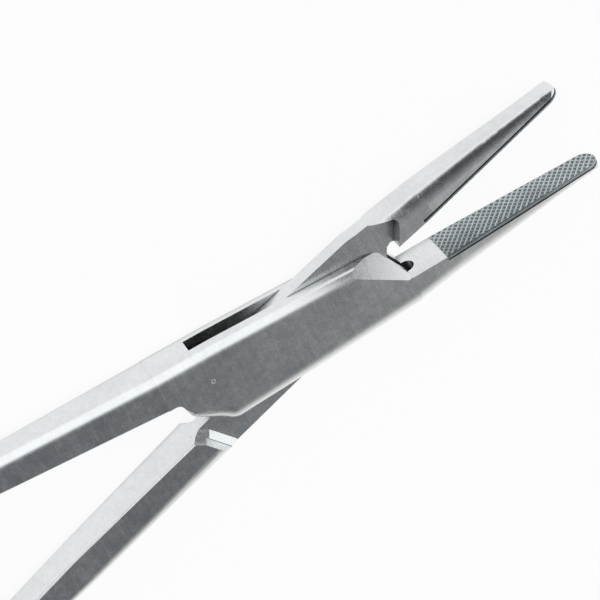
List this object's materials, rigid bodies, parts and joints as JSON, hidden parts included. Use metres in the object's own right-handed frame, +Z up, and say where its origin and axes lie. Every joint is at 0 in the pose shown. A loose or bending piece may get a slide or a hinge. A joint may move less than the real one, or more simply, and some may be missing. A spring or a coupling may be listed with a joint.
{
  "type": "surgical needle holder",
  "caption": "Box lock needle holder for surgery: two crossed steel halves with short tapered jaws, cross hatched gripping inserts, long shanks, a ratchet and oval finger rings.",
  "frame": {"origin": "on the pivot's axis, in the plane of the lock's lower flat, on which the instrument lies", "axes": "+Z up along the pivot's axis, +X along the box half to its jaw tip, +Y to the side of the tenon half's jaw"},
  "size_m": [0.1791, 0.0881, 0.0058],
  "materials": {
    "steel": "satin, slightly mottled, with brighter rounded edges",
    "insert": "fine cross hatched grey carbide"
  },
  "bodies": {
    "box_side": {"box_half": "steel", "pivot_pin": "steel", "box_half_insert": "insert"},
    "tenon_side": {"tenon_half": "steel", "tenon_half_insert": "insert"}
  },
  "joints": [
    {"name": "box_lock", "type": "hinge", "parent": "box_side", "child": "tenon_side", "pos_m": [0, 0, 0], "axis": [0, 0, 1], "range_deg": [-14, 46]}
  ]
}
